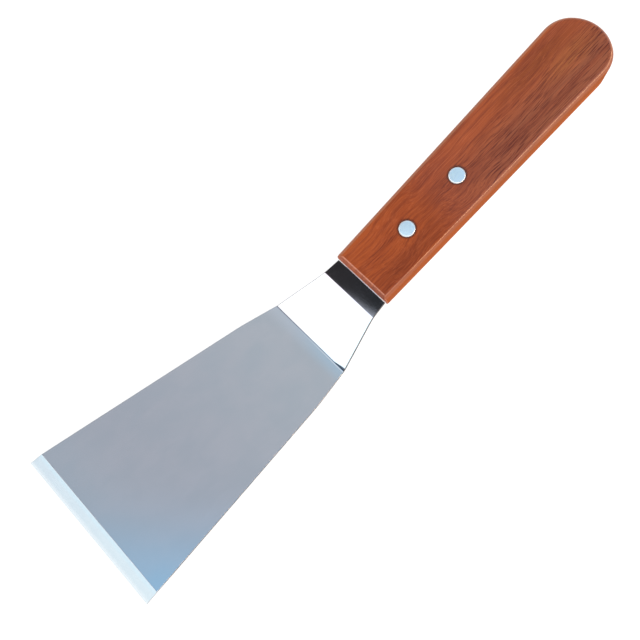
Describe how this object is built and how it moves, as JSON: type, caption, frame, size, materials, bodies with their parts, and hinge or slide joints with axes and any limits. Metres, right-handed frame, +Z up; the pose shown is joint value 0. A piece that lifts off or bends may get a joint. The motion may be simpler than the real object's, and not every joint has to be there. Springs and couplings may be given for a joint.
{
  "type": "cranked blade scraper",
  "caption": "Flat tapering steel scraper blade with a front bevel and a cranked neck, its hidden tang riveted into a split wooden handle.",
  "frame": {"origin": "centre of the tool's bounding box, on the surface that the blade lies on", "axes": "+X from the cutting edge to the handle's butt, +Z up from the blade's flat underside, so the handle rises towards +X; the XZ plane is the tool's plane of symmetry"},
  "size_m": [0.2274, 0.057, 0.0821],
  "materials": {
    "blade_steel": "satin",
    "handle_wood": "satin",
    "rivet_metal": "satin"
  },
  "bodies": {
    "root": {"blade": "blade_steel", "handle_half_upper": "handle_wood", "handle_half_lower": "handle_wood", "rivet_front_tube": "rivet_metal", "rivet_front_pin": "rivet_metal", "rivet_rear_tube": "rivet_metal", "rivet_rear_pin": "rivet_metal"}
  },
  "joints": []
}
